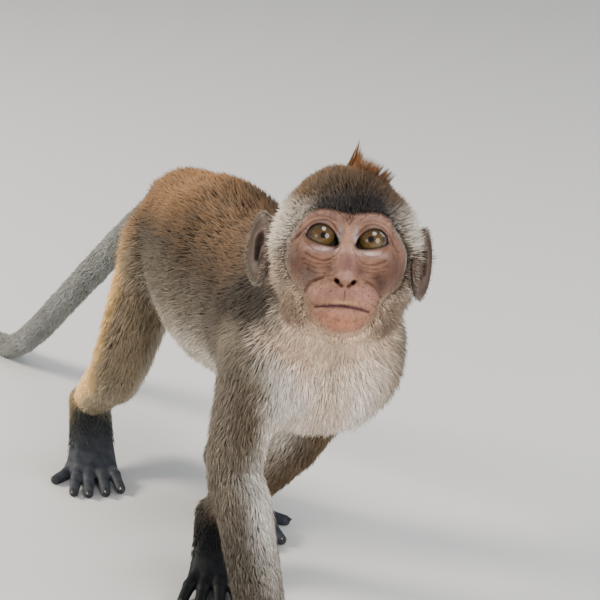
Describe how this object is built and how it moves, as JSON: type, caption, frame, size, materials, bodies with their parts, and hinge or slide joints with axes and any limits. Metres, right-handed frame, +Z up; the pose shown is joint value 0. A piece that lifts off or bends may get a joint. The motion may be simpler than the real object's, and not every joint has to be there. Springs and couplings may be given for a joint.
{
  "type": "long-tailed macaque figure",
  "caption": "Life-size still figure of a young long-tailed macaque walking on all fours, head raised and turned, tail laid back to the floor.",
  "frame": {"origin": "on the floor, under the middle of the bounding box", "axes": "+Z up, -Y the way the animal walks, +X its left side"},
  "size_m": [0.1346, 0.6996, 0.3095],
  "materials": {
    "coat": "short overlapping fur, grey-brown with orange-brown tips, pale below",
    "skin": "bare creased skin, blackish on hands and feet, dark grey in the ears",
    "eye": "polished, amber iris with a dark rim",
    "nail": "small dark nails with a dull gloss"
  },
  "bodies": {
    "root": {"abdomen": "coat", "chest": "coat", "neck": "coat", "head": "coat", "upper_arm_left": "coat", "upper_arm_right": "coat", "forearm_left": "coat", "forearm_right": "coat", "thigh_left": "coat", "thigh_right": "coat", "shank_left": "coat", "shank_right": "coat", "tail_upper": "coat", "tail_middle": "coat", "tail_lower": "coat", "ear_left": "skin", "ear_right": "skin", "hand_left": "skin", "hand_right": "skin", "foot_left": "skin", "foot_right": "skin", "eye_left": "eye", "eye_right": "eye"}
  },
  "joints": []
}
